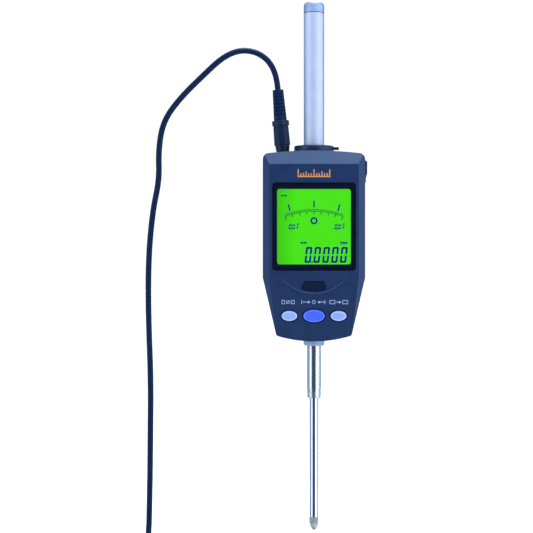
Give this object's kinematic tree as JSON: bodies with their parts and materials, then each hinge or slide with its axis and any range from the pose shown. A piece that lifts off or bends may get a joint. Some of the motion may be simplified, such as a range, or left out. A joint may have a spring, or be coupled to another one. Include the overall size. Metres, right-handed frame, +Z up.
{
  "type": "dial indicator",
  "caption": "Long-travel digital dial indicator with backlit display, oval keys, clamping stem, spring-return spindle, cover tube and plugged-in data lead.",
  "frame": {"origin": "on the spindle axis, half way down the clamping length of the 8 mm stem", "axes": "+Z up along the spindle axis towards the cover tube, display facing -Y, +X to the display's right"},
  "size_m": [0.1297, 0.0529, 0.3255],
  "materials": {
    "housing": "fine moulded texture",
    "back_cover": "fine moulded texture",
    "seal_rubber": "matt",
    "screw_steel": "bright zinc",
    "window_clear": "clear polished",
    "window_mask": "printed",
    "lcd_cell": "backlit polariser",
    "lcd_carrier": "plain",
    "light_guide": "satin",
    "zebra_rubber": "matt",
    "circuit_board": "solder resist",
    "component_black": "moulded",
    "dome_steel": "bright",
    "infrared_window": "polished dark tint",
    "frame_metal": "die-cast, machined",
    "stem_steel": "ground",
    "spindle_steel": "ground and polished",
    "bush_metal": "turned bronze",
    "tube_metal": "satin anodised",
    "flange_paint": "satin",
    "spring_steel": "bright wire",
    "tip_steel": "knurled, ground",
    "carbide": "lapped",
    "key_pale": "smooth",
    "key_blue": "smooth",
    "port_rubber": "ribbed",
    "socket_metal": "dark",
    "plug_plastic": "satin",
    "cord_jacket": "satin jacket",
    "tie_plastic": "hook tape",
    "connector_black": "moulded",
    "contact_gold": "plated"
  },
  "bodies": {
    "case": {"front_case": "housing", "rear_case": "housing", "back_plate": "back_cover", "case_gasket": "seal_rubber", "wiper_seal": "seal_rubber", "stop_ring": "seal_rubber", "case_screws": "screw_steel", "frame_screws": "screw_steel", "back_plate_screws": "screw_steel", "board_screws": "screw_steel", "encoder_screws": "screw_steel", "port_cover_pin": "screw_steel", "display_window": "window_clear", "window_border": "window_mask", "lcd_glass": "lcd_cell", "lcd_frame": "lcd_carrier", "backlight_panel": "light_guide", "elastomer_connectors": "zebra_rubber", "main_board": "circuit_board", "encoder_board": "circuit_board", "receiver_module": "component_black", "board_link": "component_black", "port_socket": "component_black", "key_domes": "dome_steel", "receiver_window": "infrared_window", "chassis_frame": "frame_metal", "stem": "stem_steel", "stem_nose": "stem_steel", "lower_bush": "stem_steel", "guide_rod": "stem_steel", "shank_bush": "bush_metal", "bridge_bush": "bush_metal", "spindle_tube": "tube_metal", "tube_flange": "flange_paint", "return_spring": "spring_steel", "cord_socket": "socket_metal", "plug_nose": "socket_metal", "plug_barrel": "plug_plastic", "plug_ring": "plug_plastic", "strain_relief": "cord_jacket", "data_cord": "cord_jacket", "cord_coil": "cord_jacket", "cord_tail": "cord_jacket", "connector_boot": "cord_jacket", "coil_tie": "tie_plastic", "connector_body": "connector_black", "connector_contacts": "contact_gold"},
    "spindle": {"spindle": "spindle_steel", "spring_seat": "spindle_steel", "contact_point": "tip_steel", "contact_ball": "carbide", "carriage_arm": "frame_metal", "arm_screw": "screw_steel", "arm_bush": "bush_metal", "coupler_plate": "circuit_board"},
    "tube_cap": {"tube_cap": "tube_metal"},
    "mode_key": {"mode_button": "key_pale"},
    "set_key": {"set_button": "key_blue"},
    "data_key": {"data_button": "key_pale"},
    "port_cover": {"port_cover": "port_rubber"}
  },
  "joints": [
    {"name": "spindle_slide", "type": "slide", "parent": "case", "child": "spindle", "axis": [0, 0, 1], "range_m": [0, 0.0609], "stiffness_N_per_m": 15, "springref_m": -0.1, "deforming": ["return_spring"]},
    {"name": "tube_cap_lift", "type": "slide", "parent": "case", "child": "tube_cap", "axis": [0, 0, 1], "range_m": [0, 0.012]},
    {"name": "mode_press", "type": "slide", "parent": "case", "child": "mode_key", "axis": [0, 0.9912, 0.1322], "range_m": [0, 0.0008], "stiffness_N_per_m": 1200, "springref_m": -0.0003},
    {"name": "set_press", "type": "slide", "parent": "case", "child": "set_key", "axis": [0, 0.9912, 0.1322], "range_m": [0, 0.0008], "stiffness_N_per_m": 1200, "springref_m": -0.0003},
    {"name": "data_press", "type": "slide", "parent": "case", "child": "data_key", "axis": [0, 0.9912, 0.1322], "range_m": [0, 0.0008], "stiffness_N_per_m": 1200, "springref_m": -0.0003},
    {"name": "port_cover_hinge", "type": "hinge", "parent": "case", "child": "port_cover", "pos_m": [0.02915, -0.0073, 0.1093], "axis": [0, 1, 0], "range_deg": [0, 95]}
  ]
}
